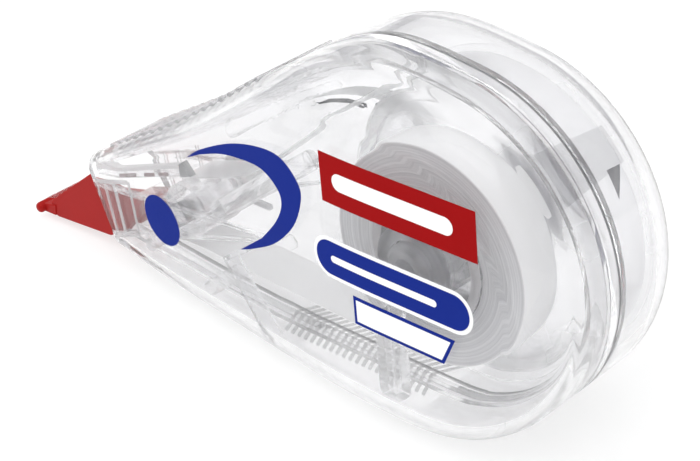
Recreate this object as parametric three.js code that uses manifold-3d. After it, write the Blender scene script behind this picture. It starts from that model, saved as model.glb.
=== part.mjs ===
// Correction tape roller: a clear two-shell case, a supply reel of white tape, a take-up drum for the
// spent liner driven through a slip clutch, and a red applicator tip on a sprung hinge.
// Millimetres, +Z up, tip towards -X, the shell with the label on the -Y side, base on Z = 0.
import * as THREE from 'three';
import { mergeVertices } from 'three/addons/utils/BufferGeometryUtils.js';
import Module from 'manifold-3d';

const wasm = await Module();
wasm.setup();

// Driving dimensions
const REEL_X = 22.1;              // axis shared by both reels
const REAR_R = 17.07;             // round rear of the case
const REEL_Z = REAR_R;
const HALF = 9.84;                // half thickness of the case at the reels
const TAPER_X = 14.1;             // the sides close in towards the tip from here
const TAPER = 0.128;              // closing of each side per mm
const WALL = 1.2;
const FILLET = 4.0;               // outer edge rounding
const SEAM_Y = -1.3;              // parting line of the two shells
const TONGUE = 1.6;               // reach of the far shell's tongue into the near shell
const GAP = 0.3;
const BASE_FRONT = [3.0, 0];      // front end of the flat base
const NOSE_LOW = [-22.0, 2.0];    // lower corner of the open nose
const NOSE_TOP = [-26.6, 11.65];  // upper corner of the open nose
const SLOPE_END = [5.4, 30.75];   // the straight grip slope ends here
const CROWN_ANGLE = 81;           // the crown leaves the rear arc here, degrees
const TAPE_W = 5.0;
const ROLL_R = 10.5;
const ROLL_Y = -2.1;              // middle of the supply roll
const HUB_R = 6.2;
const DRUM_R = 14.0;
const DRUM_Y = 4.2;               // middle of the take-up drum
const PIVOT = [-12.6, 9.3];       // hinge of the applicator tip
const PRESS = [-38.3, 1.4];       // axis of the rounded press edge
const PRESS_R = 0.7;
const TIP_HALF = 3.1;
const FEED_PIN = [-17.1, 4.5];
const RETURN_PIN = [-3.0, 14.3];
const RIBS = 18;                  // finger grip ribs on each shell
const RIB_PITCH = 1.7;
const RIB_START = 4.4;            // first rib from the front of the nose

const material = {
  clear: [0xe9ebee, 0.08, 0],
  frosted: [0xe2e4e8, 0.3, 0],
  red: [0xb02221, 0.35, 0],
  tape: [0xfafafa, 0.6, 0],
  liner: [0xc9ccd0, 0.4, 0],
  drum: [0xdfe1e5, 0.35, 0],
  steel: [0xb8babd, 0.3, 1],
  dark: [0x3a3c40, 0.7, 0],
};

// Solids
function solid(geometry) {
  const g = geometry.index ? geometry.clone() : geometry;
  g.deleteAttribute('normal');
  g.deleteAttribute('uv');
  const merged = mergeVertices(g, 1e-4);
  const vertProperties = new Float32Array(merged.attributes.position.array);
  const triVerts = new Uint32Array(merged.index.array);
  let made = new wasm.Manifold(new wasm.Mesh({ numProp: 3, vertProperties, triVerts }));
  if (made.volume() < 0) {
    for (let i = 0; i < triVerts.length; i += 3) {
      [triVerts[i], triVerts[i + 1]] = [triVerts[i + 1], triVerts[i]];
    }
    made = new wasm.Manifold(new wasm.Mesh({ numProp: 3, vertProperties, triVerts }));
  }
  return made;
}

function geometryOf(made) {
  const mesh = made.getMesh();
  const g = new THREE.BufferGeometry();
  g.setAttribute('position', new THREE.BufferAttribute(new Float32Array(mesh.vertProperties), 3));
  g.setIndex(new THREE.BufferAttribute(new Uint32Array(mesh.triVerts), 1));
  g.computeVertexNormals();
  return g;
}

// The same piece with edges shorter than a few microns closed up
function tidied(made) {
  const source = geometryOf(made);
  source.deleteAttribute('normal');
  const g = mergeVertices(source, 4e-3);
  const index = g.index.array;
  const kept = [];
  for (let i = 0; i < index.length; i += 3) {
    const [a, b, c] = [index[i], index[i + 1], index[i + 2]];
    if (a !== b && b !== c && c !== a) kept.push(a, b, c);
  }
  g.setIndex(kept);
  g.computeVertexNormals();
  return g;
}

function join(...parts) {
  return parts.reduce((a, b) => a.add(b));
}

function box(x0, x1, y0, y1, z0, z1) {
  const g = new THREE.BoxGeometry(x1 - x0, y1 - y0, z1 - z0);
  g.translate((x0 + x1) / 2, (y0 + y1) / 2, (z0 + z1) / 2);
  return solid(g);
}

// A profile of [x, z] points given a depth from y0 to y1
function prism(points, y0, y1, round = 0, steps = 3) {
  const shape = new THREE.Shape(points.map(([x, z]) => new THREE.Vector2(x, z)));
  const g = new THREE.ExtrudeGeometry(shape, {
    depth: y1 - y0 - 2 * round,
    bevelEnabled: round > 0,
    bevelThickness: round,
    bevelSize: round,
    bevelOffset: -round,
    bevelSegments: steps,
    steps: 1,
  });
  g.rotateX(Math.PI / 2);
  g.translate(0, y1 - round, 0);
  return solid(g);
}

// A turned piece about an axis along Y through [x, z]; the profile is [radius, y] pairs, closed
function turned([x, z], profile, segments = 40) {
  const points = profile.concat([profile[0]]).map(([r, y]) => new THREE.Vector2(r, y));
  const g = new THREE.LatheGeometry(points, segments);
  g.translate(x, 0, z);
  return solid(g);
}

function ring(centre, r0, r1, y0, y1, segments = 40) {
  return turned(centre, [[r0, y0], [r1, y0], [r1, y1], [r0, y1]], segments);
}

function rod([x, z], r, y0, y1, segments = 24) {
  const g = new THREE.CylinderGeometry(r, r, y1 - y0, segments);
  g.translate(x, (y0 + y1) / 2, z);
  return solid(g);
}

// A strip of even thickness along a run of [x, z] points
function strip(points, thickness, y0, y1) {
  const left = [];
  const right = [];
  points.forEach((p, i) => {
    const a = points[Math.max(i - 1, 0)];
    const b = points[Math.min(i + 1, points.length - 1)];
    const d = Math.hypot(b[0] - a[0], b[1] - a[1]);
    const n = [-(b[1] - a[1]) / d * thickness / 2, (b[0] - a[0]) / d * thickness / 2];
    left.push([p[0] + n[0], p[1] + n[1]]);
    right.push([p[0] - n[0], p[1] - n[1]]);
  });
  return prism(left.concat(right.reverse()), y0, y1);
}

function arc([x, z], r, from, to, count) {
  return Array.from({ length: count + 1 }, (_, i) => {
    const a = THREE.MathUtils.degToRad(from + (to - from) * i / count);
    return [x + r * Math.cos(a), z + r * Math.sin(a)];
  });
}

// Case profile, counter-clockwise, running past the open nose so that the nose can be cut square
function caseProfile() {
  const top = THREE.MathUtils.degToRad(CROWN_ANGLE);
  const start = new THREE.Vector2(REEL_X + REAR_R * Math.cos(top), REEL_Z + REAR_R * Math.sin(top));
  const leave = new THREE.Vector2(-Math.sin(top), Math.cos(top)).multiplyScalar(8.9);
  const end = new THREE.Vector2(...SLOPE_END);
  const slope = new THREE.Vector2(SLOPE_END[0] - NOSE_TOP[0], SLOPE_END[1] - NOSE_TOP[1]).normalize();
  const arrive = slope.clone().multiplyScalar(8.9);
  const crown = new THREE.CubicBezierCurve(start, start.clone().add(leave), end.clone().add(arrive), end);
  const rear = arc([REEL_X, REEL_Z], REAR_R, -90, CROWN_ANGLE, 20);
  const front = [NOSE_TOP[0] - 6.5, NOSE_TOP[1] - 2];
  const under = [NOSE_LOW[0] - 6.5, NOSE_LOW[1] - 2];
  return [
    ...rear,
    ...crown.getPoints(9).slice(1).map((p) => [p.x, p.y]),
    NOSE_TOP,
    front,
    under,
    NOSE_LOW,
    [-10, 0.85],
    BASE_FRONT,
  ];
}

// The profile moved inwards by d
function inset(points, d) {
  const n = points.length;
  return points.map((p, i) => {
    const a = points[(i + n - 1) % n];
    const b = points[(i + 1) % n];
    const u = [p[0] - a[0], p[1] - a[1]].map((v) => v / Math.hypot(p[0] - a[0], p[1] - a[1]));
    const v = [b[0] - p[0], b[1] - p[1]].map((w) => w / Math.hypot(b[0] - p[0], b[1] - p[1]));
    const m = [-(u[1] + v[1]), u[0] + v[0]];
    const k = d * 2 / (m[0] * m[0] + m[1] * m[1]);
    return [p[0] + m[0] * k, p[1] + m[1] * k];
  });
}

function halfAt(x) {
  return HALF - TAPER * Math.max(0, TAPER_X - x);
}

// Case-shaped block, inset by d all round, its sides closing in towards the nose
function caseBlock(d) {
  const round = FILLET - d;
  const full = prism(inset(caseProfile(), d), -(HALF - d), HALF - d, round, 3);
  const rear = full.intersect(box(TAPER_X, 60, -20, 20, -20, 60));
  const g = geometryOf(full.intersect(box(-60, TAPER_X, -20, 20, -20, 60)));
  const position = g.attributes.position;
  for (let i = 0; i < position.count; i += 1) {
    const k = (halfAt(position.getX(i)) - d) / (HALF - d);
    position.setY(i, position.getY(i) * k);
  }
  return rear.add(solid(g));
}

// Sideways drift of a run of tape: the same piece, its y moved as a function of x
function drifted(made, x0, y0, x1, y1) {
  const g = geometryOf(made);
  const position = g.attributes.position;
  for (let i = 0; i < position.count; i += 1) {
    const t = THREE.MathUtils.clamp((position.getX(i) - x0) / (x1 - x0), 0, 1);
    position.setY(i, position.getY(i) + y0 + (y1 - y0) * t);
  }
  return solid(g);
}

// Everything in front of the nose opening
function beyondNose(margin) {
  const run = [NOSE_TOP[0] - NOSE_LOW[0], NOSE_TOP[1] - NOSE_LOW[1]];
  const size = Math.hypot(...run);
  const u = [run[0] / size, run[1] / size];
  const low = [NOSE_LOW[0] - u[0] * 20 + margin, NOSE_LOW[1] - u[1] * 20];
  const high = [NOSE_TOP[0] + u[0] * 20 + margin, NOSE_TOP[1] + u[1] * 20];
  return prism([low, high, [-80, high[1]], [-80, low[1]]], -20, 20);
}

const outer = caseBlock(0);
const hollow = caseBlock(WALL);
const inner = caseBlock(WALL + GAP);
const buried = caseBlock(WALL / 2);
const mouth = beyondNose(0);
const wall = outer.subtract(hollow).subtract(mouth);
const nearSide = (y) => box(-60, 60, -20, y, -20, 60);
const farSide = (y) => box(-60, 60, y, 20, -20, 60);

// Finger grip: low ribs across the front slope
function gripRibs(y0, y1) {
  const dx = SLOPE_END[0] - NOSE_TOP[0];
  const dz = SLOPE_END[1] - NOSE_TOP[1];
  const size = Math.hypot(dx, dz);
  const ribs = [];
  for (let i = 0; i < RIBS; i += 1) {
    const t = (RIB_START + i * RIB_PITCH) / size;
    const centre = [NOSE_TOP[0] + dx * t, NOSE_TOP[1] + dz * t];
    const reach = halfAt(centre[0]) - FILLET * halfAt(centre[0]) / HALF;
    ribs.push(rod(centre, 0.32, Math.max(y0, -reach), Math.min(y1, reach), 8));
  }
  return join(...ribs);
}

// Locating pins: a post on one shell enters a sleeve on the other
const LOCATORS = [[0.6, 24.0], [-6.5, 3.9]];

// Near shell with its sleeves for the locating pins
const nearSleeves = LOCATORS.map((c) => ring(c, 0.95, 1.7, -9.6, SEAM_Y - TONGUE - GAP, 20));
const nearRib = prism([[1.4, 12.6], [-3.4, 9.2], [2.6, 2.4], [3.4, 3.0], [-1.9, 9.1], [2.1, 11.9]],
  -9.6, -5.6);
const nearShell = wall.intersect(nearSide(SEAM_Y))
  .add(join(...nearSleeves, nearRib).intersect(buried).intersect(nearSide(SEAM_Y)))
  .add(gripRibs(-20, SEAM_Y).intersect(nearSide(SEAM_Y)));

// Far shell with the tongue that enters the near shell
const tongue = inner.subtract(caseBlock(WALL + GAP + 0.5)).subtract(beyondNose(6))
  .intersect(box(-60, 60, SEAM_Y - TONGUE, SEAM_Y + 2.6, -20, 60));
const tongueRoot = buried
  .subtract(caseBlock(WALL + GAP + 0.5)).subtract(beyondNose(6))
  .intersect(box(-60, 60, SEAM_Y + GAP, SEAM_Y + 2.6, -20, 60));
const farSleeves = LOCATORS.map((c) => ring(c, 0.95, 1.7, SEAM_Y + GAP, 9.6, 20));
const farShell = join(
  wall.intersect(farSide(SEAM_Y + GAP)),
  tongueRoot,
  tongue,
  join(...farSleeves).intersect(buried).intersect(farSide(SEAM_Y + GAP)),
  gripRibs(SEAM_Y + GAP, 20),
);

// Slotted guide panels either side of the tip, just inside the nose
function nosePanel(side) {
  const outline = [[-25.1, 9.9], [-22.5, 4.3], [-19.6, 4.3], [-21.4, 10.9]];
  const [a, b] = [TIP_HALF + 0.15, TIP_HALF + 0.6];
  let panel = prism(outline, side < 0 ? -b : a, side < 0 ? -a : b);
  for (const x of [0.9, 2.3]) {
    const slot = [[-25.1 + x + 0.15, 9.4], [-22.5 + x - 0.15, 4.9], [-22.1 + x - 0.15, 4.9],
      [-24.7 + x + 0.15, 9.4]].map(([px, pz]) => [px + (pz - 4.3) * 0.05, pz]);
    panel = panel.subtract(prism(slot, -20, 20));
  }
  return panel.intersect(inner);
}

// Reels
const reel = [REEL_X, REEL_Z];
const rollNear = ROLL_Y - TAPE_W / 2;
const rollFar = ROLL_Y + TAPE_W / 2;

const spindle = turned(reel, [[1.2, -7.4], [2.0, -7.4], [2.5, -6.9], [2.5, 7.9], [4.2, 7.9], [4.2, 8.4],
  [1.2, 8.4]], 32);
const spindleCap = ring(reel, 2.62, 4.0, -6.6, -5.9, 32);

let supplyHub = join(
  ring(reel, 2.7, 3.7, rollNear - 0.5, rollFar + 0.1, 36),
  ring(reel, HUB_R - 0.9, HUB_R, rollNear - 0.1, rollFar + 0.1, 48),
);
for (let i = 0; i < 6; i += 1) {
  const g = new THREE.BoxGeometry(HUB_R - 3.7, TAPE_W - 1.6, 0.8);
  g.translate((HUB_R - 0.9 + 3.5) / 2, 0, 0);
  g.rotateY(i * Math.PI / 3);
  g.translate(REEL_X, ROLL_Y, REEL_Z);
  supplyHub = supplyHub.add(solid(g));
}
const tapeRoll = ring(reel, HUB_R + 0.1, ROLL_R, rollNear, rollFar, 72);
const clutchRing = turned(reel, [[4.0, 0.75], [4.9, 0.75], [5.1, 0.95], [4.9, 1.15], [4.0, 1.15],
  [3.8, 0.95]], 32);

const drumNear = DRUM_Y - TAPE_W / 2 - 0.2;
const drumFar = DRUM_Y + TAPE_W / 2 + 0.2;
const takeupDrum = join(
  ring(reel, 2.8, 4.2, drumNear - 0.1, drumFar, 36),
  ring(reel, 3.6, DRUM_R - 1.0, drumNear, drumNear + 0.8, 64),
  ring(reel, DRUM_R - 1.2, DRUM_R, drumNear, drumFar, 64),
  ring(reel, DRUM_R - 0.6, DRUM_R + 0.9, drumFar - 0.5, drumFar, 64),
);
const spentLiner = ring(reel, DRUM_R + 0.05, DRUM_R + 0.4, DRUM_Y - TAPE_W / 2, DRUM_Y + TAPE_W / 2 - 0.4, 64);
const clutchSpring = turned(reel, [[4.5, 3.0], [4.9, 2.6], [6.2, 3.3], [6.0, 3.7]], 36);
const clutchPlate = turned(reel, [[4.4, 3.9], [7.4, 3.9], [7.4, 4.4], [5.6, 4.4], [5.6, 5.2], [4.4, 5.2]], 36);

// Applicator tip
const half = TIP_HALF;
const cheek = [[-20.0, 9.3], [-27.6, 8.8], [-36.0, 2.95], [-36.6, 2.3], [-36.6, 1.6], [-36.0, 1.1],
  [-35.2, 1.05], [-26.3, 1.6], [-22.2, 3.9], [-19.6, 5.6]].reverse();
const blade = [[-38.5, 0.95], [-30.0, 2.9], [-22.0, 4.8], [-19.6, 5.6], [-19.6, 8.6], [-23.0, 7.6],
  [-30.0, 4.7], [-38.4, 1.8]];
const pocket = prism([[-22.6, 6.1], [-18.0, 6.9], [-18.6, 8.5], [-23.2, 7.0]], -1.6, 1.6);
const tipHead = join(
  prism(cheek, -half, -half + 0.55),
  prism(cheek, half - 0.55, half),
  prism(blade, -half + 0.3, half - 0.3),
  rod(PRESS, PRESS_R, -half, half, 20),
).subtract(pocket);
const tipArm = join(
  prism([[-22.3, 6.3], [-18.9, 6.9], [-12.6, 7.4], [-12.6, 11.0], [-18.9, 8.2], [-22.9, 6.95]], -1.45, 1.45),
  rod(PIVOT, 2.9, -2.6, 2.6, 32),
).subtract(rod(PIVOT, 1.35, -5, 5, 24));
const pivotPin = rod(PIVOT, 1.2, -halfAt(PIVOT[0]), halfAt(PIVOT[0]), 24).intersect(inner);
const tipSpring = join(
  ring(PIVOT, 1.55, 2.05, 2.75, 3.25, 28),
  box(PIVOT[0] + 1.5, PIVOT[0] + 6.6, 2.75, 3.25, PIVOT[1] - 0.25, PIVOT[1] + 0.25),
);

// Fixed pins and posts, each standing on the near shell
function stud(centre, r, y0, y1) {
  return turned(centre, [[r * 0.45, y0], [r, y0], [r, y1], [r * 0.45, y1]], 24);
}
const inside = (c) => halfAt(c[0]) - WALL - 0.1;
const feedPin = rod(FEED_PIN, 0.7, -inside(FEED_PIN), inside(FEED_PIN), 20).intersect(inner);
const returnPin = stud(RETURN_PIN, 1.1, -inside(RETURN_PIN), inside(RETURN_PIN)).intersect(inner);
const basePost = box(18.0, 20.2, -inside([20, 0]), -5.6, 1.2, 11.4).intersect(caseBlock(WALL + GAP + 0.8));
const locators = LOCATORS.map((c) => rod(c, 0.8, -inside(c), inside(c), 16).intersect(inner));

// Tape: fed along the bottom from the roll, round the press edge as a clear leader, and the bare
// liner led over the return pin to the top of the drum
const tapeHalf = TAPE_W / 2;
const feedRun = drifted(
  strip([[21.5, 6.28], [-16.6, 5.45], [-17.4, 5.4]], 0.12, -tapeHalf, tapeHalf),
  20.0, ROLL_Y, -10.0, 0,
);
const leaderLoop = strip([
  [-18.0, 5.35],
  ...arc(PRESS, PRESS_R + 0.1, -78, -260, 10),
  [-28.0, 5.95],
  [-16.2, 11.4],
  [-14.2, 12.3],
], 0.1, -tapeHalf + 0.1, tapeHalf - 0.1);
const returnRun = drifted(
  strip([[-13.4, 12.65], [-4.2, 15.55], [-3.2, 16.0], [12.2, 28.9]], 0.12, -tapeHalf + 0.3, tapeHalf - 0.3),
  -6.0, 0, 10.0, DRUM_Y - 0.2,
);

const group = new THREE.Group();
function add(name, made, [color, roughness, metalness]) {
  const mesh = new THREE.Mesh(
    tidied(made),
    new THREE.MeshStandardMaterial({ color, roughness, metalness }),
  );
  mesh.name = name;
  group.add(mesh);
}

add('near_shell', nearShell, material.clear);
add('far_shell', farShell, material.clear);
add('nose_guide_near', nosePanel(-1), material.clear);
add('nose_guide_far', nosePanel(1), material.clear);
add('reel_spindle', spindle, material.frosted);
add('spindle_cap', spindleCap, material.frosted);
add('tip_pivot_pin', pivotPin, material.frosted);
add('feed_guide_pin', feedPin, material.clear);
add('return_guide_pin', returnPin, material.clear);
add('base_post', basePost, material.clear);
add('locating_pin_top', locators[0], material.clear);
add('locating_pin_bottom', locators[1], material.clear);
add('supply_hub', supplyHub, material.clear);
add('tape_roll', tapeRoll, material.tape);
add('clutch_ring', clutchRing, material.dark);
add('takeup_drum', takeupDrum, material.drum);
add('spent_liner', spentLiner, material.liner);
add('clutch_spring', clutchSpring, material.steel);
add('clutch_plate', clutchPlate, material.frosted);
add('tip_head', tipHead, material.red);
add('tip_arm', tipArm, material.clear);
add('tip_spring', tipSpring, material.steel);
add('leader_loop', leaderLoop, material.clear);
add('tape_feed_run', feedRun, material.tape);
add('liner_return_run', returnRun, material.liner);

export default group;
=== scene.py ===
# Looks of the correction tape roller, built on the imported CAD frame.
# Shapes are written in millimetres, in the frame's own axes: X from tip to rear, Y across, Z up.
# A mesh is scaled to metres when it is made.
import math

import bmesh
import bpy
from mathutils import Matrix, Vector


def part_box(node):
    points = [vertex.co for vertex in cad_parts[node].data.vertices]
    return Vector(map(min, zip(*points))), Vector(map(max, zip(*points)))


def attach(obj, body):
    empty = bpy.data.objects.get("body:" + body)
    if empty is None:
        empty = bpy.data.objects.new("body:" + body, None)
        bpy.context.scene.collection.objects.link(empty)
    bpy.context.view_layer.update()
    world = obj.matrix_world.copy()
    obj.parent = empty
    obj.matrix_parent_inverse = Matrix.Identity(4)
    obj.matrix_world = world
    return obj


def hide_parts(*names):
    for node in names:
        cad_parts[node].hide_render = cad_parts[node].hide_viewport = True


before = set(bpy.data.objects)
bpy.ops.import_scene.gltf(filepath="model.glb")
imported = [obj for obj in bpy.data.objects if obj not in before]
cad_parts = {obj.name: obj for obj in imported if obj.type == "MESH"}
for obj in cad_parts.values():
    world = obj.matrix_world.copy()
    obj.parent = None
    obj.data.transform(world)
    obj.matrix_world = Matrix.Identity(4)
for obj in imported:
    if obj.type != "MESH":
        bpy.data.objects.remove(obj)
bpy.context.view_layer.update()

MM = 0.001

# ---------------------------------------------------------------- dimensions, in millimetres
# The first ones are read from the frame's boxes.
spindle_lo, spindle_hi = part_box("reel_spindle")
shell_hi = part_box("far_shell")[1]
near_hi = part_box("near_shell")[1]
roll_lo, roll_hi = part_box("tape_roll")
hub_lo, hub_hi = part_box("supply_hub")
drum_lo, drum_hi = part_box("takeup_drum")
liner_lo, liner_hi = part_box("spent_liner")

REEL = ((spindle_lo.x + spindle_hi.x) / 2 / MM, (spindle_lo.z + spindle_hi.z) / 2 / MM)
ROLL_R = (roll_hi.x - roll_lo.x) / 2 / MM
HUB_R = (hub_hi.x - hub_lo.x) / 2 / MM
LINER_R = (liner_hi.x - liner_lo.x) / 2 / MM
REAR_R = shell_hi.x / MM - REEL[0]
HALF = shell_hi.y / MM
SEAM = near_hi.y / MM
FAR_SEAM = SEAM + 0.12
WALL = 1.2
NOSE_TOP = (-26.6, 11.65)
NOSE_LOW = (-22.0, 2.0)
SLOPE_END = (5.4, 30.75)
CROWN_DEG = 81
CROWN_HANDLE = 8.9
SLOPE_SAG = 0.6
TAPER_X, TAPER, TAPER_EASE = 14.1, 0.128, 7.0
FILLET_NOSE, FILLET_GAIN = 1.7, 2.8
FILLET_X, FILLET_RUN = -26.0, 34.0
FILLET_STEPS = 14
SIDE_CENTRE = (8.0, 15.5)
SIDE_RINGS = 15
FLAT_SNAP = 0.006
RIBS, RIB_START, RIB_PITCH = 18, 4.4, 1.7
BASE_RIBS, BASE_RIB_START, BASE_RIB_PITCH = 22, 0.6, 0.85
PIVOT = (-12.6, 9.3)
TIP_HALF = 3.1
CHEEK = 0.55
BAR = (-38.0, 1.35)
DRUM_R = 14.0
RUN_WIDTH = 4.4
RUN_THICK = 0.06


def half_at(x):
    """Half thickness of the case at x, the taper eased in over a short length."""
    d = TAPER_X - x
    if d <= -TAPER_EASE:
        return HALF
    if d >= TAPER_EASE:
        return HALF - TAPER * d
    return HALF - TAPER * (d + TAPER_EASE) ** 2 / (4 * TAPER_EASE)


def fillet_at(x):
    """Edge rounding: full at the reels, small at the nose."""
    t = min(max((x - FILLET_X) / FILLET_RUN, 0.0), 1.0)
    return FILLET_NOSE + FILLET_GAIN * t * t * (3 - 2 * t)


def quadratic(a, b, c, t):
    """A point of the curve from a to c with b as its handle."""
    return a * (1 - t) ** 2 + b * 2 * t * (1 - t) + c * t * t


# ---------------------------------------------------------------- mesh helpers
def link_new(name, data):
    """A new object with this data, in the scene."""
    obj = bpy.data.objects.new(name, data)
    bpy.context.scene.collection.objects.link(obj)
    return obj


def bmesh_object(name, bm):
    """A new object with the mesh being edited, which is then freed."""
    mesh = bpy.data.meshes.new(name)
    bm.to_mesh(mesh)
    bm.free()
    return link_new(name, mesh)


def slice_mesh(bm, place, normal, **options):
    """The whole mesh cut along a plane."""
    return bmesh.ops.bisect_plane(bm, geom=bm.verts[:] + bm.edges[:] + bm.faces[:],
                                  plane_co=place, plane_no=normal, **options)


def mesh_object(name, verts, faces, smooth=True):
    mesh = bpy.data.meshes.new(name)
    mesh.from_pydata([tuple(c * MM for c in v) for v in verts], [], faces)
    mesh.update()
    obj = link_new(name, mesh)
    bm = bmesh.new()
    bm.from_mesh(mesh)
    bmesh.ops.remove_doubles(bm, verts=bm.verts, dist=1e-7)
    bmesh.ops.recalc_face_normals(bm, faces=bm.faces)
    bm.to_mesh(mesh)
    bm.free()
    for p in mesh.polygons:
        p.use_smooth = smooth
    return obj


def sharpen(obj, degrees=35):
    """Smooth shading that keeps edges sharper than the angle."""
    mesh = obj.data
    bm = bmesh.new()
    bm.from_mesh(mesh)
    limit = math.radians(degrees)
    for e in bm.edges:
        e.smooth = not (len(e.link_faces) == 2 and e.calc_face_angle() > limit)
    for f in bm.faces:
        f.smooth = True
    bm.to_mesh(mesh)
    bm.free()
    return obj


def bevel(obj, width, segments=2, angle=40):
    m = obj.modifiers.new("edges", "BEVEL")
    m.width = width * MM
    m.segments = segments
    m.limit_method = "ANGLE"
    m.angle_limit = math.radians(angle)
    return obj


def join(name, objs):
    """One object holding all the given meshes."""
    bm = bmesh.new()
    for o in objs:
        bm.from_mesh(o.data)
    for o in objs:
        bpy.data.objects.remove(o)
    return bmesh_object(name, bm)


def turned(name, centre, profile, segments=96, closed=True, sharp=30):
    """A (radius, y) profile turned about the axis along Y through centre (x, z)."""
    verts, faces = [], []
    n = len(profile)
    for i in range(segments):
        a = 2 * math.pi * i / segments
        for r, y in profile:
            verts.append((centre[0] + r * math.cos(a), y, centre[1] + r * math.sin(a)))
    for i in range(segments):
        j = (i + 1) % segments
        for k in range(n if closed else n - 1):
            m = (k + 1) % n
            faces.append((i * n + k, i * n + m, j * n + m, j * n + k))
    return sharpen(mesh_object(name, verts, faces), sharp)


def rounded(profile, r=0.12, steps=3):
    """The closed profile with each corner cut by a small arc."""
    out = []
    n = len(profile)
    for i in range(n):
        p = Vector(profile[i]).to_2d()
        a = (Vector(profile[i - 1]).to_2d() - p)
        b = (Vector(profile[(i + 1) % n]).to_2d() - p)
        d = min(r, a.length * 0.45, b.length * 0.45)
        pa, pb = p + a.normalized() * d, p + b.normalized() * d
        for k in range(steps + 1):
            q = quadratic(pa, p, pb, k / steps)
            out.append((q.x, q.y))
    return out


def ring(name, centre, r0, r1, y0, y1, edge=0.12, segments=96):
    profile = rounded([(r0, y0), (r1, y0), (r1, y1), (r0, y1)], edge)
    return turned(name, centre, profile, segments)


def rod(name, centre, r, y0, y1, edge=0.15, segments=48):
    """A round pin with its ends closed by rounded faces."""
    profile = [(0.0, y0), (r - edge, y0), (r - edge * 0.3, y0 + edge * 0.3), (r, y0 + edge),
               (r, y1 - edge), (r - edge * 0.3, y1 - edge * 0.3), (r - edge, y1), (0.0, y1)]
    return turned(name, centre, profile, segments, closed=False, sharp=50)


def prism(name, outline, y0, y1, edge=0.0, segments=2, shape=None):
    """An (x, z) outline given depth in Y. shape(x, y, z) may move its points."""
    n = len(outline)
    verts = [(x, y0, z) for x, z in outline] + [(x, y1, z) for x, z in outline]
    if shape:
        verts = [shape(*v) for v in verts]
    faces = [tuple(range(n)), tuple(range(2 * n - 1, n - 1, -1))]
    faces += [(i, (i + 1) % n, (i + 1) % n + n, i + n) for i in range(n)]
    obj = mesh_object(name, verts, faces)
    sharpen(obj, 30)
    if edge:
        bevel(obj, edge, segments)
    return obj


def arc(centre, r, a0, a1, count):
    """Points round centre from a0 to a1 degrees."""
    angles = [math.radians(a0 + (a1 - a0) * i / count) for i in range(count + 1)]
    return [(centre[0] + r * math.cos(a), centre[1] + r * math.sin(a)) for a in angles]


def ribbon(name, points, width, thickness, y_at, samples=6):
    """A thin strip along (x, z) points, its middle at y_at(x)."""
    pts = []
    for (xa, za), (xb, zb) in zip(points, points[1:]):
        for k in range(samples):
            t = k / samples
            pts.append((xa * (1 - t) + xb * t, za * (1 - t) + zb * t))
    pts.append(points[-1])
    verts, faces = [], []
    for i, (x, z) in enumerate(pts):
        a, b = pts[max(i - 1, 0)], pts[min(i + 1, len(pts) - 1)]
        d = math.hypot(b[0] - a[0], b[1] - a[1])
        nx, nz = -(b[1] - a[1]) / d * thickness / 2, (b[0] - a[0]) / d * thickness / 2
        y = y_at(x)
        verts += [(x + nx, y - width / 2, z + nz), (x + nx, y + width / 2, z + nz),
                  (x - nx, y + width / 2, z - nz), (x - nx, y - width / 2, z - nz)]
    n = len(pts)
    for i in range(n - 1):
        for k in range(4):
            m = (k + 1) % 4
            faces.append((i * 4 + k, i * 4 + m, (i + 1) * 4 + m, (i + 1) * 4 + k))
    faces += [(0, 1, 2, 3), tuple((n - 1) * 4 + k for k in (3, 2, 1, 0))]
    return sharpen(mesh_object(name, verts, faces), 40)


# ---------------------------------------------------------------- case outline
def grip_point(x, z):
    """A point of the straight front slope, let down into the shallow finger rest."""
    a, b = Vector(NOSE_TOP), Vector(SLOPE_END)
    d = (b - a).normalized()
    t = min(max((Vector((x, z)) - a).dot(d) / (b - a).length, 0.0), 1.0)
    drop = SLOPE_SAG * math.sin(math.pi * t) ** 2
    return (x + d.y * drop, z - d.x * drop)


def case_outline():
    """Dense closed outline of the case, running past the open nose, counter-clockwise."""
    top = math.radians(CROWN_DEG)
    p0 = Vector((REEL[0] + REAR_R * math.cos(top), REEL[1] + REAR_R * math.sin(top)))
    p3 = Vector(SLOPE_END)
    slope = (p3 - Vector(NOSE_TOP)).normalized()
    p1 = p0 + Vector((-math.sin(top), math.cos(top))) * CROWN_HANDLE
    p2 = p3 + slope * CROWN_HANDLE
    pts = arc(REEL, REAR_R, -90, CROWN_DEG, 140)
    for i in range(1, 61):
        t = i / 60
        q = (p0 * (1 - t) ** 3 + p1 * 3 * t * (1 - t) ** 2
             + p2 * 3 * t * t * (1 - t) + p3 * t ** 3)
        pts.append((q.x, q.y))
    front = Vector(NOSE_TOP) - slope * 6.0
    for i in range(1, 31):
        q = p3.lerp(front, i / 30)
        pts.append(grip_point(q.x, q.y))
    low = Vector(NOSE_LOW) + Vector((-6.4, -1.2))
    for i in range(1, 13):
        q = front.lerp(low, i / 12)
        pts.append((q.x, q.y))
    a, b, c = Vector(NOSE_LOW), Vector((-8.0, 0.35)), Vector((4.0, 0.0))
    for i in range(1, 9):
        q = low.lerp(a, i / 8)
        pts.append((q.x, q.y))
    for i in range(1, 31):
        q = quadratic(a, b, c, i / 30)
        pts.append((q.x, q.y))
    for i in range(1, 12):
        pts.append((c.x + (REEL[0] - c.x) * i / 12, 0.0))
    return pts


OUTLINE = case_outline()


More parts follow.
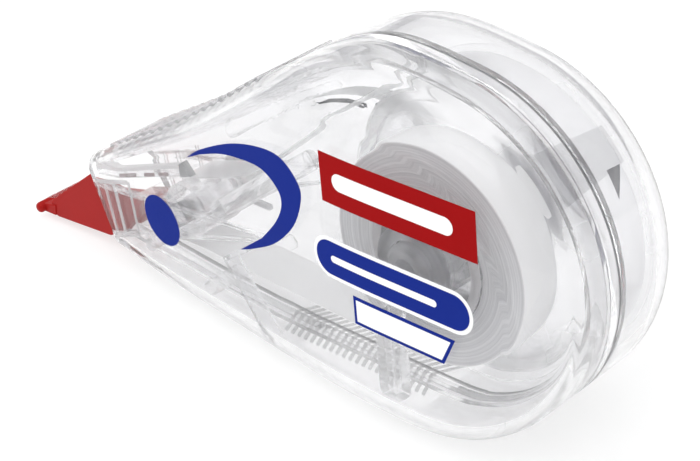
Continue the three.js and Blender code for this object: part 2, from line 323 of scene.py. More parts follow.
def inset_outline(points, depth):
    """The outline moved inwards; depth is a function of x."""
    n = len(points)
    out = []
    for i, p in enumerate(points):
        a, b = points[i - 1], points[(i + 1) % n]
        u = Vector((p[0] - a[0], p[1] - a[1])).normalized()
        v = Vector((b[0] - p[0], b[1] - p[1])).normalized()
        m = Vector((-(u.y + v.y), u.x + v.x))
        k = depth(p[0]) * 2 / max(m.length_squared, 1.2)
        out.append((p[0] + m.x * k, p[1] + m.y * k))
    return out


def case_surface(inward, side, seam, extra=()):
    """Rings of points of one half of the case, from the seam over the rounded edge to the
    middle of the side. inward is how far the surface lies inside the outer one, and extra
    holds (y, depth) rings next to the seam."""
    rings = []
    base = inset_outline(OUTLINE, lambda x: inward)
    for y, depth in extra:
        rings.append([(x, y, z) for x, z in inset_outline(OUTLINE, lambda x, d=depth: inward + d)])
    start = extra[-1][0] if extra else seam
    for t in (0.5, 1.0) if extra else (0.0, 0.5, 1.0):
        row = []
        for (x, z) in base:
            edge = side * (half_at(x) - fillet_at(x))
            row.append((x, start + (edge - start) * t, z))
        rings.append(row)

    def rounding(x):
        return max(fillet_at(x) - inward, 0.2)

    for k in range(1, FILLET_STEPS + 1):
        a = math.pi / 2 * k / FILLET_STEPS
        drop = 1 - math.cos(a)
        row = []
        for x, z in inset_outline(OUTLINE, lambda x, d=drop: inward + rounding(x) * d):
            y = half_at(x) - fillet_at(x) + rounding(x) * math.sin(a)
            row.append((x, side * y, z))
        rings.append(row)
    last = rings[-1]
    cx, cz = SIDE_CENTRE
    for k in range(1, SIDE_RINGS):
        s = 1 - k / SIDE_RINGS
        row = []
        for x, y, z in last:
            px = cx + (x - cx) * s
            row.append((px, side * (half_at(px) - inward), cz + (z - cz) * s))
        rings.append(row)
    rings.append([(cx, side * (half_at(cx) - inward), cz)])
    return rings


def half_shell(name, side, seam, outer_extra=(), inner_extra=()):
    """One shell of the case with its wall thickness, cut square at the open nose."""
    outer = case_surface(0.0, side, seam, outer_extra)
    inner = case_surface(WALL, side, seam, inner_extra)
    verts, faces = [], []

    def lay(rings):
        starts = []
        for row in rings:
            starts.append(len(verts))
            verts.extend(row)
        n = len(rings[0])
        for r in range(len(rings) - 1):
            a, b = starts[r], starts[r + 1]
            for i in range(n):
                j = (i + 1) % n
                if len(rings[r + 1]) == 1:
                    faces.append((a + i, a + j, b))
                else:
                    faces.append((a + i, a + j, b + j, b + i))
        return starts[0], n

    o, n = lay(outer)
    i0, _ = lay(inner)
    for i in range(n):
        j = (i + 1) % n
        faces.append((o + i, o + j, i0 + j, i0 + i))
    obj = mesh_object(name, verts, faces)
    bm = bmesh.new()
    bm.from_mesh(obj.data)
    low = Vector((NOSE_LOW[0], 0, NOSE_LOW[1])) * MM
    top = Vector((NOSE_TOP[0], 0, NOSE_TOP[1])) * MM
    # the sides get extra points where the taper is eased in, and are then laid on the taper
    for k in range(29):
        slice_mesh(bm, ((TAPER_X - TAPER_EASE + 0.5 * k) * MM, 0, 0), (1, 0, 0), dist=1e-7)
    for v in bm.verts:
        for depth in (0.0, WALL):
            flat = (half_at(v.co.x / MM) - depth) * MM
            if abs(abs(v.co.y) - flat) < FLAT_SNAP * MM:
                v.co.y = side * flat
    normal = (top - low).cross(Vector((0, 1, 0))).normalized()
    if normal.x > 0:
        normal = -normal
    cut = slice_mesh(bm, low, normal, dist=1e-7, clear_outer=True)
    edges = [e for e in cut["geom_cut"] if isinstance(e, bmesh.types.BMEdge)]
    bmesh.ops.edgenet_fill(bm, edges=edges)
    bmesh.ops.triangulate(bm, faces=[f for f in bm.faces if len(f.verts) > 4])
    bmesh.ops.recalc_face_normals(bm, faces=bm.faces)
    bm.to_mesh(obj.data)
    bm.free()
    return sharpen(obj, 40)


# ---------------------------------------------------------------- materials
def material(name):
    """A new material with its nodes, links and shader."""
    m = bpy.data.materials.new(name)
    m.use_nodes = True
    nodes = m.node_tree.nodes
    return m, nodes, m.node_tree.links, nodes["Principled BSDF"]


def bump(nodes, links, shader, height, strength, distance):
    b = nodes.new("ShaderNodeBump")
    b.inputs["Strength"].default_value = strength
    b.inputs["Distance"].default_value = distance
    links.new(height, b.inputs["Height"])
    links.new(b.outputs["Normal"], shader.inputs["Normal"])


def uneven_gloss(nodes, links, shader, source, low, high):
    """Roughness that follows a noise between two values."""
    r = nodes.new("ShaderNodeMapRange")
    r.inputs["To Min"].default_value = low
    r.inputs["To Max"].default_value = high
    links.new(source, r.inputs["Value"])
    links.new(r.outputs["Result"], shader.inputs["Roughness"])


def noise(nodes, links, scale, detail):
    coord = nodes.new("ShaderNodeTexCoord")
    n = nodes.new("ShaderNodeTexNoise")
    n.inputs["Scale"].default_value = scale
    n.inputs["Detail"].default_value = detail
    links.new(coord.outputs["Object"], n.inputs["Vector"])
    return n


def ramp(nodes, links, source, stops):
    """A colour ramp between two (position, colour) stops."""
    r = nodes.new("ShaderNodeValToRGB")
    for element, (position, color) in zip(r.color_ramp.elements, stops):
        element.position = position
        element.color = (*color, 1)
    links.new(source, r.inputs["Fac"])
    return r


def clear_plastic(name, tint, rough, ior, wave, alpha):
    """Clear moulded plastic: glassy, with the faint waviness of a moulding. alpha under 1 lets
    part of the light straight through, which keeps the inside as light as in the photo."""
    m, nodes, links, s = material(name)
    n = noise(nodes, links, 90.0, 2.0)
    lighter = tuple(min(1.0, t + 0.01) for t in tint)
    c = ramp(nodes, links, n.outputs["Fac"], [(0.3, tint), (0.7, lighter)])
    links.new(c.outputs["Color"], s.inputs["Base Color"])
    s.inputs["Transmission Weight"].default_value = 1.0
    s.inputs["IOR"].default_value = ior
    s.inputs["Alpha"].default_value = alpha
    uneven_gloss(nodes, links, s, n.outputs["Fac"], rough * 0.6, rough * 1.5)
    bump(nodes, links, s, n.outputs["Fac"], wave, 0.0004)
    return m


def solid_plastic(name, color, rough, vary, spec=0.5, depth=0.05, alpha=1.0, metallic=0.0,
                  painted_glow=0.0):
    """Moulded plastic, ink or metal with a fine grain and a slight change of tone, and an optional
    painted glow in white that lightens it as light falling on it would.
    """
    m, nodes, links, s = material(name)
    n = noise(nodes, links, 220.0, 4.0)
    dark = tuple(c * (1 - vary) for c in color)
    light = tuple(min(1.0, c * (1 + vary)) for c in color)
    c = ramp(nodes, links, n.outputs["Fac"], [(0.3, dark), (0.7, light)])
    links.new(c.outputs["Color"], s.inputs["Base Color"])
    fine = noise(nodes, links, 2600.0, 2.0)
    uneven_gloss(nodes, links, s, fine.outputs["Fac"], rough * 0.8, rough * 1.2)
    s.inputs["Specular IOR Level"].default_value = spec
    s.inputs["Alpha"].default_value = alpha
    s.inputs["Metallic"].default_value = metallic
    # painted glow: the surface gives off white light of its own, though it is no lamp
    if painted_glow:
        s.inputs["Emission Color"].default_value = (1, 1, 1, 1)
        s.inputs["Emission Strength"].default_value = painted_glow
    bump(nodes, links, s, fine.outputs["Fac"], depth, 0.00004)
    return m


def polar(nodes, links):
    """Radius and angle about the reel axis as sockets, and the function that makes maths nodes."""
    coord = nodes.new("ShaderNodeTexCoord")
    sep = nodes.new("ShaderNodeSeparateXYZ")
    links.new(coord.outputs["Object"], sep.inputs["Vector"])

    def math_node(op, a, b=None):
        n = nodes.new("ShaderNodeMath")
        n.operation = op
        for i, v in enumerate((a, b)):
            if v is None:
                continue
            if isinstance(v, (int, float)):
                n.inputs[i].default_value = v
            else:
                links.new(v, n.inputs[i])
        return n.outputs[0]

    dx = math_node("SUBTRACT", sep.outputs["X"], REEL[0] * MM)
    dz = math_node("SUBTRACT", sep.outputs["Z"], REEL[1] * MM)
    squares = math_node("ADD", math_node("MULTIPLY", dx, dx), math_node("MULTIPLY", dz, dz))
    return math_node("SQRT", squares), math_node("ARCTAN2", dz, dx), math_node


def wound_tape(name, face_dark, face_light, rim):
    """Wound film: fine uneven layer lines on its sides, a smooth outer turn, and a painted glow in
    its own colour that lightens the roll.
    """
    m, nodes, links, s = material(name)
    radius, angle, mn = polar(nodes, links)
    line = nodes.new("ShaderNodeTexNoise")
    line.noise_dimensions = "2D"
    line.inputs["Scale"].default_value = 1.0
    line.inputs["Detail"].default_value = 6.0
    line.inputs["Roughness"].default_value = 0.7
    comb = nodes.new("ShaderNodeCombineXYZ")
    links.new(mn("MULTIPLY", radius, 3200.0), comb.inputs["X"])
    links.new(mn("MULTIPLY", mn("SINE", mn("ADD", angle, 0.6)), 0.008), comb.inputs["Y"])
    links.new(comb.outputs["Vector"], line.inputs["Vector"])
    c = ramp(nodes, links, line.outputs["Fac"], [(0.3, face_dark), (0.7, face_light)])
    edge = mn("GREATER_THAN", radius, (ROLL_R - 0.13) * MM)
    mix = nodes.new("ShaderNodeMix")
    mix.data_type = "RGBA"
    links.new(edge, mix.inputs["Factor"])
    links.new(c.outputs["Color"], mix.inputs["A"])
    mix.inputs["B"].default_value = (*rim, 1)
    links.new(mix.outputs["Result"], s.inputs["Base Color"])
    # painted glow: the roll gives off its own colour as light, to lighten it inside the case
    links.new(mix.outputs["Result"], s.inputs["Emission Color"])
    s.inputs["Emission Strength"].default_value = 0.1
    s.inputs["Roughness"].default_value = 0.5
    bump(nodes, links, s, line.outputs["Fac"], 0.25, 0.00008)
    return m


# clear plastics: tint, roughness, index of refraction, waviness, opacity
clear_case = clear_plastic("clear_case", (0.95, 0.95, 0.958), 0.01, 1.38, 0.01, 0.93)
clear_ribs = clear_plastic("clear_ribs", (0.93, 0.93, 0.94), 0.04, 1.4, 0.02, 0.85)
clear_inner = clear_plastic("clear_inner", (0.97, 0.97, 0.98), 0.04, 1.25, 0.02, 0.65)
clear_faint = clear_plastic("clear_faint", (0.98, 0.98, 0.985), 0.05, 1.15, 0.02, 0.35)
frosted = clear_plastic("frosted", (0.86, 0.86, 0.88), 0.3, 1.3, 0.05, 0.85)
drum_clear = clear_plastic("drum_clear", (0.975, 0.975, 0.98), 0.25, 1.12, 0.1, 0.4)
liner_grey = clear_plastic("liner_grey", (0.93, 0.93, 0.945), 0.3, 1.1, 0.02, 0.5)
leader_film = clear_plastic("leader_film", (0.98, 0.98, 0.985), 0.1, 1.1, 0.02, 0.25)

# the rest: colour, roughness, change of tone, specular level
tip_red = solid_plastic("tip_red", (0.37, 0.012, 0.011), 0.4, 0.05, 0.08)
ink_blue = solid_plastic("ink_blue", (0.009, 0.026, 0.25), 0.5, 0.03, 0.03, depth=0.02)
ink_red = solid_plastic("ink_red", (0.34, 0.004, 0.005), 0.5, 0.03, 0.03, depth=0.02)
ink_white = solid_plastic("ink_white", (0.97, 0.97, 0.97), 0.45, 0.01, 0.1, depth=0.02)
ink_back = solid_plastic("ink_back", (0.45, 0.46, 0.47), 0.5, 0.05, 0.2, depth=0.02, alpha=0.35)
ink_shadow = solid_plastic("ink_shadow", (0.10, 0.11, 0.12), 0.5, 0.05, 0.2, depth=0.02)
tape_side = wound_tape("tape_side", (0.56, 0.56, 0.575), (0.92, 0.92, 0.93), (0.97, 0.97, 0.97))
# the white tape has a painted glow: painted light that lightens the feed run inside the case
tape_white = solid_plastic("tape_white", (0.97, 0.97, 0.97), 0.5, 0.01, 0.3, painted_glow=0.14)
steel = solid_plastic("spring_steel", (0.62, 0.62, 0.64), 0.25, 0.05, metallic=1.0)
rubber = solid_plastic("rubber_dark", (0.42, 0.42, 0.43), 0.7, 0.1)
milky = solid_plastic("milky_rib", (0.97, 0.95, 0.96), 0.4, 0.02, 0.4, alpha=0.6)
notch_red = solid_plastic("notch_red", (0.30, 0.14, 0.15), 0.5, 0.04, 0.3, alpha=0.6)
smoke = solid_plastic("smoke_grey", (0.26, 0.27, 0.28), 0.5, 0.04, 0.3, alpha=0.55)
seam_shade = solid_plastic("seam_shade", (0.10, 0.10, 0.11), 0.5, 0.04, 0.3, alpha=0.8)
haze = solid_plastic("haze_grey", (0.36, 0.36, 0.38), 0.6, 0.05, 0.2, alpha=0.28)


def finish_piece(obj, mat, body, nodes=()):
    """Give a piece its material and body, and hide the CAD nodes it stands for."""
    obj.data.materials.clear()
    obj.data.materials.append(mat)
    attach(obj, body)
    if nodes:
        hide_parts(*nodes)
    return obj


# ---------------------------------------------------------------- camera
CAM_PLACE = (121.05, -108.78, 103.09)
CAM_RIGHT = (0.7208, 0.6890, -0.0761)
CAM_FORWARD = (-0.6256, 0.5993, -0.4994)
cam_data = bpy.data.cameras.new("camera")
cam = link_new("camera", cam_data)
forward = Vector(CAM_FORWARD).normalized()
up = Vector(CAM_RIGHT).normalized().cross(forward).normalized()
right = forward.cross(up).normalized()
turn = Matrix((right, up, -forward)).transposed().to_4x4()
cam.matrix_world = Matrix.Translation(Vector(CAM_PLACE) * MM) @ turn
cam_data.lens = 98.86
cam_data.sensor_width = 36.0
cam_data.clip_start = 0.01
bpy.context.scene.camera = cam

# ---------------------------------------------------------------- case shells
near = half_shell("near_shell_visual", -1, SEAM, [(SEAM, 0.1), (SEAM - 0.12, 0.0)])
groove = [(FAR_SEAM, 0.1), (SEAM + 0.24, 0.0), (-0.16, 0.0), (-0.12, 0.14), (0.24, 0.14),
          (0.28, 0.0)]
lip = [(FAR_SEAM, 0.0), (FAR_SEAM, 0.3), (SEAM - 1.6, 0.3), (SEAM - 1.6, 0.8), (1.3, 0.8),
       (1.5, 0.0)]
far = half_shell("far_shell_visual", 1, FAR_SEAM, groove, lip)


def seam_line(name, y0, y1, depth):
    """A thin dark band of painted shade that runs round the case in the seam, open at the nose."""
    stop = NOSE_LOW[0] + 1.0
    path = [p for p in inset_outline(OUTLINE, lambda x: depth) if p[0] > stop]
    start = max(range(len(path)), key=lambda i: math.dist(path[i], path[i - 1]))
    path = path[start:] + path[:start]
    verts = [(x, y, z) for x, z in path for y in (y0, y1)]
    faces = [(2 * i, 2 * i + 1, 2 * i + 3, 2 * i + 2) for i in range(len(path) - 1)]
    return finish_piece(mesh_object(name, verts, faces), seam_shade, "case")


seam_line("seam_groove_shade", -0.11, 0.23, 0.17)
seam_line("seam_joint_shade", SEAM - 0.02, FAR_SEAM, 0.14)


def rear_film(name, points, mat):
    """A patch of film on the inner face of the rear wall, its points given as (degrees round
    the reel axis, y)."""
    low, high = min(a for a, _ in points), max(a for a, _ in points)
    bm = bmesh.new()
    bm.faces.new([bm.verts.new((a, y, 0)) for a, y in points])
    for k in range(1, 24):
        slice_mesh(bm, (low + (high - low) * k / 24, 0, 0), (1, 0, 0))
    radius = REAR_R - WALL - 0.04
    for v in bm.verts:
        a = math.radians(v.co.x)
        v.co = Vector((REEL[0] + radius * math.cos(a), v.co.y, REEL[1] + radius * math.sin(a))) * MM
    return finish_piece(bmesh_object(name, bm), mat, "case")


rear_film("rear_film_patch", [(32, -2.8), (50, -2.8), (47, 5.4), (34.5, 5.4)], haze)
rear_film("rear_film_fold", [(35, 3.1), (34.5, 4.8), (25.5, 3.0)], seam_shade)


def grip_ribs(name, y0, y1):
    """The finger grip's low round ribs on one shell, from y0 to y1."""
    a, b = Vector(NOSE_TOP), Vector(SLOPE_END)
    d = (b - a).normalized()
    nrm = Vector((-d.y, d.x))
    parts = []
    for i in range(RIBS):
        c = a + d * (RIB_START + RIB_PITCH * i)
        c = Vector(grip_point(c.x, c.y))
        reach = half_at(c.x) - fillet_at(c.x) * 0.8
        pts = [tuple(c + d * (0.34 * math.cos(t)) + nrm * (0.30 * math.sin(t) - 0.08))
               for t in [math.pi * k / 8 for k in range(9)]]
        parts.append(prism("rib", pts, max(y0, -reach), min(y1, reach)))
    return join(name, parts)


near_ribs = grip_ribs("grip_ribs_near", -HALF, SEAM)
far_ribs = grip_ribs("grip_ribs_far", FAR_SEAM, HALF)
finish_piece(near, clear_case, "case", ["near_shell"])
finish_piece(far, clear_case, "case", ["far_shell"])
finish_piece(near_ribs, clear_ribs, "case")
finish_piece(far_ribs, clear_ribs, "case")

# ---------------------------------------------------------------- inside the case
def rectangle(x0, x1, z0, z1):
    return [(x0, z0), (x1, z0), (x1, z1), (x0, z1)]


spindle = turned("reel_spindle_visual", REEL, rounded([
    (1.2, -7.4), (2.0, -7.4), (2.5, -6.9), (2.5, 7.9), (4.2, 7.9), (4.2, 8.4), (1.2, 8.4)], 0.1))
finish_piece(spindle, frosted, "case", ["reel_spindle"])
cap = ring("spindle_cap_visual", REEL, 2.62, 4.0, -6.6, -5.9)
finish_piece(cap, frosted, "case", ["spindle_cap"])
for node, mat in (("tip_pivot_pin", clear_inner), ("feed_guide_pin", clear_inner),
                  ("return_guide_pin", clear_inner), ("locating_pin_top", clear_faint),
                  ("locating_pin_bottom", clear_faint)):
    lo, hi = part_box(node)
    c = ((lo.x + hi.x) / 2 / MM, (lo.z + hi.z) / 2 / MM)
    pin = rod(node + "_visual", c, (hi.x - lo.x) / 2 / MM, lo.y / MM, hi.y / MM)
    finish_piece(pin, mat, "case", [node])
lo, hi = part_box("base_post")
post = prism("base_post_visual", rectangle(lo.x / MM, hi.x / MM, lo.z / MM, hi.z / MM),
             lo.y / MM, hi.y / MM, 0.15)
finish_piece(post, clear_inner, "case", ["base_post"])

# ---------------------------------------------------------------- reels
ROLL_Y0, ROLL_Y1 = roll_lo.y / MM, roll_hi.y / MM
HUB_Y0, HUB_Y1 = hub_lo.y / MM, hub_hi.y / MM
roll = ring("tape_roll_visual", REEL, HUB_R + 0.1, ROLL_R, ROLL_Y0, ROLL_Y1, 0.1, 192)
finish_piece(roll, tape_side, "supply_reel", ["tape_roll"])
hub_parts = [ring("h", REEL, 2.7, 3.7, HUB_Y0, HUB_Y1),
             ring("h", REEL, HUB_R - 0.9, HUB_R, ROLL_Y0 - 0.1, HUB_Y1)]
for i in range(6):
    spoke = prism("s", rectangle(3.6, HUB_R - 0.8, -0.4, 0.4), -4.0, -0.3)
    spoke.data.transform(Matrix.Translation(Vector((REEL[0], 0, REEL[1])) * MM)
                         @ Matrix.Rotation(i * math.pi / 3, 4, "Y"))
    hub_parts.append(spoke)
hub_face = ring("supply_hub_face", REEL, HUB_R - 0.95, HUB_R + 0.08, ROLL_Y0 - 0.22, ROLL_Y0 - 0.12)
finish_piece(hub_face, milky, "supply_reel")
hub = join("supply_hub_visual", hub_parts)
finish_piece(hub, clear_inner, "supply_reel", ["supply_hub"])

DRUM_Y0, DRUM_Y1 = drum_lo.y / MM, drum_hi.y / MM
drum = join("takeup_drum_visual", [
    ring("d", REEL, 2.8, 4.2, DRUM_Y0, DRUM_Y1),
    ring("d", REEL, 4.0, DRUM_R - 1.1, DRUM_Y0 + 0.1, DRUM_Y0 + 0.9, 0.1, 128),
    ring("d", REEL, DRUM_R - 1.2, DRUM_R, DRUM_Y0 + 0.1, DRUM_Y1, 0.1, 160),
    ring("d", REEL, DRUM_R - 0.2, DRUM_R + 0.9, DRUM_Y1 - 0.5, DRUM_Y1, 0.1, 160)])
finish_piece(drum, drum_clear, "takeup_reel", ["takeup_drum"])
liner = ring("spent_liner_visual", REEL, DRUM_R + 0.05, LINER_R, liner_lo.y / MM, liner_hi.y / MM,
             0.05, 160)
finish_piece(liner, liner_grey, "takeup_reel", ["spent_liner"])

# the slip clutch between the reels: plate, spring washer and friction ring
plate = turned("clutch_plate_visual", REEL, rounded([
    (4.4, 3.9), (7.4, 3.9), (7.4, 4.4), (5.6, 4.4), (5.6, 5.2), (4.4, 5.2)]))
finish_piece(plate, frosted, "takeup_reel", ["clutch_plate"])
washer = turned("clutch_spring_visual", REEL, rounded([
    (4.5, 3.0), (4.9, 2.6), (6.2, 3.3), (6.0, 3.7)], 0.05))
finish_piece(washer, steel, "takeup_reel", ["clutch_spring"])
friction = turned("clutch_ring_visual", REEL, [
    (4.45 + 0.6 * math.cos(t), 0.95 + 0.2 * math.sin(t))
    for t in [2 * math.pi * k / 12 for k in range(12)]])
finish_piece(friction, rubber, "supply_reel", ["clutch_ring"])

# ---------------------------------------------------------------- applicator tip
# the near cheek stands higher than the far one
cheek_head = [(-28.3, 8.45), (-35.7, 3.05), (-36.15, 2.6), (-36.4, 2.0), (-36.35, 1.45),
              (-36.0, 1.05), (-35.4, 0.85), (-34.9, 0.9), (-26.3, 1.6)]
near_cheek = [(-23.7, 9.1), (-19.0, 8.65), (-19.8, 6.4), (-22.3, 3.6)]
far_head = [(-26.5, 4.7), (-35.5, 2.5)] + cheek_head[2:]
far_cheek = [(-22.5, 5.0), (-22.4, 3.8)]
blade = [(-38.1, 1.05), (-30.0, 2.7), (-25.0, 3.9), (-22.0, 4.8), (-20.0, 5.4), (-20.0, 6.2),
         (-24.5, 5.1), (-30.0, 3.5), (-38.0, 1.65)]
neck = [(-37.9, 0.85), (-35.7, 0.95), (-35.5, 2.3), (-37.9, 1.8)]
tip = join("tip_head_visual", [
    prism("c", near_cheek[:1] + cheek_head + near_cheek[:0:-1], -TIP_HALF, -TIP_HALF + CHEEK),
    prism("c", far_cheek[:1] + far_head + far_cheek[1:], TIP_HALF - CHEEK, TIP_HALF),
    prism("b", blade, -TIP_HALF + 0.3, TIP_HALF - 0.3),
    prism("n", neck, -TIP_HALF - 0.12, TIP_HALF - 0.2),
    rod("p", BAR, 0.6, -TIP_HALF - 0.75, TIP_HALF + 0.3, 0.35, 40)])
finish_piece(bevel(tip, 0.08), tip_red, "tip", ["tip_head"])
finish_piece(rod("tip_pivot_core", PIVOT, 1.0, -2.7, -1.2), smoke, "tip")
arm = join("tip_arm_visual", [
    prism("a", [(-22.3, 6.3), (-18.9, 6.9), (-12.6, 7.4), (-12.6, 8.0), (-15.6, 9.3),
                (-18.9, 8.2), (-22.9, 6.95)], -1.45, 1.45),
    ring("a", PIVOT, 1.35, 2.9, -2.6, 2.6, 0.15, 64)])
finish_piece(arm, clear_inner, "tip", ["tip_arm"])
leg = rectangle(PIVOT[0] + 1.5, PIVOT[0] + 6.6, PIVOT[1] - 0.25, PIVOT[1] + 0.25)
spring = join("tip_spring_visual", [ring("s", PIVOT, 1.55, 2.05, 2.75, 3.25, 0.2, 48),
                                    prism("s", leg, 2.75, 3.25, 0.1)])
finish_piece(spring, steel, "tip", ["tip_spring"])


def nose_panel(name, side):
    """A slotted panel in the nose wall: two upright bars and a frame, following the tapered side."""
    top_left, top_right = Vector((-25.25, 9.3)), Vector((-18.6, 11.6))
    low_left, low_right = Vector((-23.7, 3.2)), Vector((-17.9, 5.6))

    def at(u, v):
        return tuple(low_left.lerp(low_right, u).lerp(top_left.lerp(top_right, u), v))

    # each strip's reach across the panel and up it, as fractions of the panel
    return join(name, [
        prism("n", [at(u0, v0), at(u1, v0), at(u1, v1), at(u0, v1)], 0.0, side * 0.3,
              shape=lambda x, y, z: (x, side * (half_at(x) - 0.75) + y, z))
        for u0, u1, v0, v1 in (
            (0.0, 0.03, 0.0, 1.0), (0.22, 0.28, 0.09, 0.95), (0.50, 0.57, 0.09, 0.95),
            (0.97, 1.02, 0.0, 1.0), (0.0, 1.0, -0.02, 0.09), (0.0, 0.96, 0.96, 1.03))])


for side, node, mat in ((-1, "nose_guide_near", milky), (1, "nose_guide_far", clear_inner)):
    finish_piece(nose_panel(node + "_visual", side), mat, "case", [node])


def wall_rib(name, outline, mat, depth=0.7):
    """A low rib standing on the inner face of the near side wall."""
    rib = prism(name, outline, 0.0, depth,
                shape=lambda x, y, z: (x, -(half_at(x) - WALL - 0.01) + y, z))
    return finish_piece(rib, mat, "case")


wall_rib("nose_rib_near", [(-25.1, 10.7), (-20.4, 12.05), (-8.9, 16.7), (-8.9, 17.1),
                           (-20.3, 12.5), (-25.2, 11.1)], milky)
wall_rib("nose_rib_body", [(-24.9, 10.1), (-20.6, 11.2), (-8.9, 15.8), (-8.9, 16.7),
                           (-20.4, 12.05), (-25.1, 10.7)], clear_inner)
for a, b in ((-20.6, -17.2), (-15.6, -13.6), (-12.8, -11.0)):
    za, zb = 11.3 + (a + 20.6) * 0.39, 11.3 + (b + 20.6) * 0.39
    wall_rib(f"nose_rib_notch_{abs(a):.0f}",
             [(a, za), (b, zb), (b, zb + 0.42), (a, za + 0.42)], notch_red, depth=0.1)
wall_rib("nose_rib_end", [(-8.8, 15.8), (-6.9, 16.5), (-8.2, 17.6), (-8.8, 17.2)], smoke)
wall_rib("l_rib_upper", [(1.0, 11.9), (-3.0, 9.1), (-2.8, 8.7), (1.3, 11.5)], clear_ribs, depth=1.6)
wall_rib("l_rib_lower", [(-3.0, 9.1), (3.2, 2.2), (3.6, 2.5), (-2.6, 9.3)], clear_ribs, depth=1.6)
for i in range(BASE_RIBS):
    x = BASE_RIB_START + BASE_RIB_PITCH * i
    section = [(x, 1.21), (x + 0.35, 1.21), (x + 0.28, 1.5), (x + 0.07, 1.5)]
    rib = join(f"base_rib_{i:02d}", [
        prism("r", section, -3.8, -1.2, shape=lambda x, y, z: (x - 0.45 * (y + 1.2), y, z)),
        prism("r", section, -1.2, 1.6, shape=lambda x, y, z: (x + 0.55 * (y + 1.2), y, z))])
    finish_piece(rib, haze, "case")

# ---------------------------------------------------------------- tape runs
# the full tape drifts from the roll's middle to the tip's, and the liner on to the drum's
feed = ribbon("tape_feed_run_visual", [(21.5, 6.28), (-16.6, 5.45), (-17.4, 5.4)],
              5.0, RUN_THICK, lambda x: -2.1 + 2.1 * min(max((20 - x) / 30, 0), 1))
finish_piece(feed, tape_white, "case", ["tape_feed_run"])
loop = [(-18.0, 5.35), *arc(BAR, 0.66, -78, -255, 16),
        (-30.0, 3.75), (-25.0, 5.3), (-16.2, 11.4), (-14.2, 12.3)]
leader = ribbon("leader_loop_visual", loop, RUN_WIDTH, 0.05, lambda x: 0.0, 3)
finish_piece(leader, leader_film, "tip", ["leader_loop"])
spent = ribbon("liner_return_visual", [(-13.4, 12.65), (-4.2, 15.55), (-3.2, 16.0), (12.2, 28.9)],
               RUN_WIDTH, RUN_THICK, lambda x: 4.0 * min(max((x + 6) / 16, 0), 1))
finish_piece(spent, liner_grey, "case", ["liner_return_run"])


# ---------------------------------------------------------------- printed marks
INK = 0.03
ON_FACE, ON_INK, ON_TOP = 0.02, 0.055, 0.09


def decal(name, outline, side, mat, proud=ON_FACE):
    """A thin printed area, cut into strips so that it lies on the tapered side face."""
    bm = bmesh.new()
    bm.faces.new([bm.verts.new((x, 0, z)) for x, z in outline])
    xs = [p[0] for p in outline]
    x = min(xs) + 1.0
    while x < max(xs):
        slice_mesh(bm, (x, 0, 0), (1, 0, 0))
        x += 1.0
    for v in bm.verts:
        v.co.y = side * (half_at(v.co.x) + proud)
    geom = bmesh.ops.extrude_face_region(bm, geom=bm.faces[:])
    for v in geom["geom"]:
        if isinstance(v, bmesh.types.BMVert):
            v.co.y += side * INK
    bmesh.ops.recalc_face_normals(bm, faces=bm.faces)
    for v in bm.verts:
        v.co *= MM
    return finish_piece(bmesh_object(name, bm), mat, "case")


def spline(points, steps=8):
    """A smooth line through the points."""
    out = []
    n = len(points)
    for i in range(n - 1):
        p0, p1 = Vector(points[max(i - 1, 0)]), Vector(points[i])
        p2, p3 = Vector(points[i + 1]), Vector(points[min(i + 2, n - 1)])
        for k in range(steps):
            t = k / steps
            q = 0.5 * ((2 * p1) + (p2 - p0) * t + (2 * p0 - 5 * p1 + 4 * p2 - p3) * t * t
                       + (3 * p1 - p0 - 3 * p2 + p3) * t ** 3)
            out.append((q.x, q.y))
    out.append(tuple(points[-1]))
    return out


def stadium(x0, x1, z0, z1, r):
    """A rectangle with its corners rounded to r."""
    return (arc((x1 - r, z0 + r), r, -90, 0, 10) + arc((x1 - r, z1 - r), r, 0, 90, 10)
            + arc((x0 + r, z1 - r), r, 90, 180, 10) + arc((x0 + r, z0 + r), r, 180, 270, 10))


crescent = (spline([(-6.4, 19.1), (-3.8, 20.9), (1.4, 23.4), (6.1, 24.7), (9.1, 24.7), (11.1, 23.2),
                    (11.5, 21.5), (10.1, 18.3), (7.0, 15.2), (3.4, 13.1), (1.0, 12.0)])
            + spline([(4.8, 14.8), (7.3, 17.5), (8.5, 19.7), (8.1, 21.3), (5.8, 22.5), (2.0, 22.2),
                      (-0.9, 21.5), (-4.0, 20.3)]))
dot = [(x, 9.7 + (z - 9.7) * 0.9) for x, z in arc((-12.6, 9.7), 3.0, 0, 360 - 360 / 64, 63)]
decal("print_dot_near", dot, -1, ink_blue)
decal("print_crescent_near", crescent, -1, ink_blue)
decal("print_dot_far", dot, 1, ink_back)
decal("print_crescent_far", crescent, 1, ink_back)
decal("print_crescent_far_edge_a", [(-4.2, 19.0), (-1.8, 20.0), (0.7, 20.6), (3.0, 20.7),
                                    (3.0, 21.3), (0.7, 21.3), (-1.8, 20.6)], 1, ink_shadow, ON_INK)
decal("print_crescent_far_edge_b", [(4.1, 21.4), (5.6, 21.3), (5.3, 21.9), (4.3, 21.9)],
      1, ink_shadow, ON_INK)
decal("print_band", rectangle(14.5, 32.3, 22.5, 27.4), -1, ink_red)
decal("print_band_stroke", stadium(16.0, 29.8, 24.1, 25.8, 0.85), -1, ink_white, ON_INK)
decal("print_pill_edge", stadium(12.7, 31.5, 14.7, 18.95, 2.1), -1, ink_white)
decal("print_pill", stadium(13.1, 31.1, 15.1, 18.55, 1.7), -1, ink_blue, ON_INK)
decal("print_pill_stroke", stadium(15.0, 27.5, 16.5, 17.2, 0.35), -1, ink_white, ON_TOP)
decal("print_flag_edge", [(17.4, 11.0), (27.9, 11.0), (29.3, 13.9), (17.4, 13.9)], -1, ink_blue)
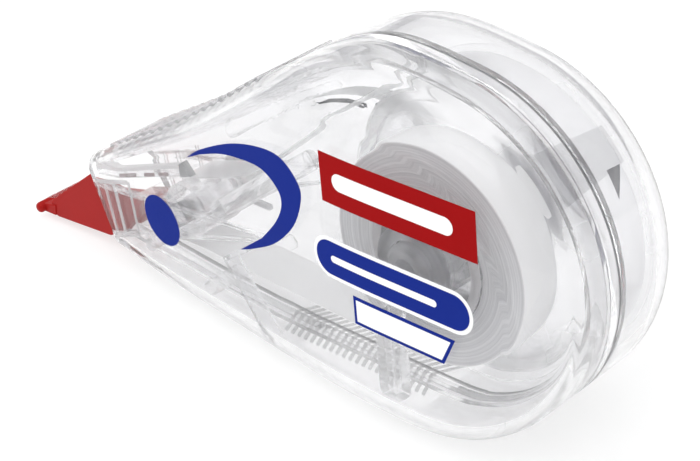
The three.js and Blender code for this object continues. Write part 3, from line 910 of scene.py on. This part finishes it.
decal("print_flag", [(17.75, 11.35), (27.7, 11.35), (28.8, 13.55), (17.75, 13.55)],
      -1, ink_white, ON_INK)

# ---------------------------------------------------------------- studio
world = bpy.data.worlds.new("studio")
bpy.context.scene.world = world
world.use_nodes = True
wn, wl = world.node_tree.nodes, world.node_tree.links
coord = wn.new("ShaderNodeTexCoord")
sep = wn.new("ShaderNodeSeparateXYZ")
wl.new(coord.outputs["Generated"], sep.inputs["Vector"])
sky = ramp(wn, wl, sep.outputs["Z"], [(0.0, (0.50, 0.50, 0.52)), (0.55, (1, 1, 1))])
wl.new(sky.outputs["Color"], wn["Background"].inputs["Color"])
wn["Background"].inputs["Strength"].default_value = 1.0

# the floor glows a little, to reach the photo's white background
floor_mat, _, _, fs = material("floor_pale")
fs.inputs["Base Color"].default_value = (0.33, 0.33, 0.33, 1)
fs.inputs["Roughness"].default_value = 0.9
fs.inputs["Specular IOR Level"].default_value = 0.1
fs.inputs["Emission Color"].default_value = (1, 1, 1, 1)
fs.inputs["Emission Strength"].default_value = 0.72
FLOOR = 3000
floor = mesh_object("floor", [(x, z, 0) for x, z in rectangle(-FLOOR, FLOOR, -FLOOR, FLOOR)],
                    [(0, 1, 2, 3)], False)
floor.data.materials.append(floor_mat)


def soft_light(name, place, size, power):
    """An area light that points at the middle of the part, in metres and watts."""
    d = bpy.data.lights.new(name, "AREA")
    d.shape = "RECTANGLE"
    d.size, d.size_y = size
    d.energy = power
    o = link_new(name, d)
    o.location = Vector(place)
    o.rotation_euler = (Vector((0, 0, 0.01)) - o.location).to_track_quat("-Z", "Y").to_euler()


soft_light("key", (0.1, -0.25, 0.7), (0.7, 0.5), 1.6)
soft_light("fill", (-0.6, -0.3, 0.4), (0.5, 0.4), 0.5)

scene = bpy.context.scene
scene.view_settings.view_transform = "Standard"
scene.cycles.transmission_bounces = 24
scene.cycles.transparent_max_bounces = 24
scene.cycles.max_bounces = 32
scene.cycles.glossy_bounces = 8
scene.cycles.diffuse_bounces = 4

bpy.context.view_layer.update()
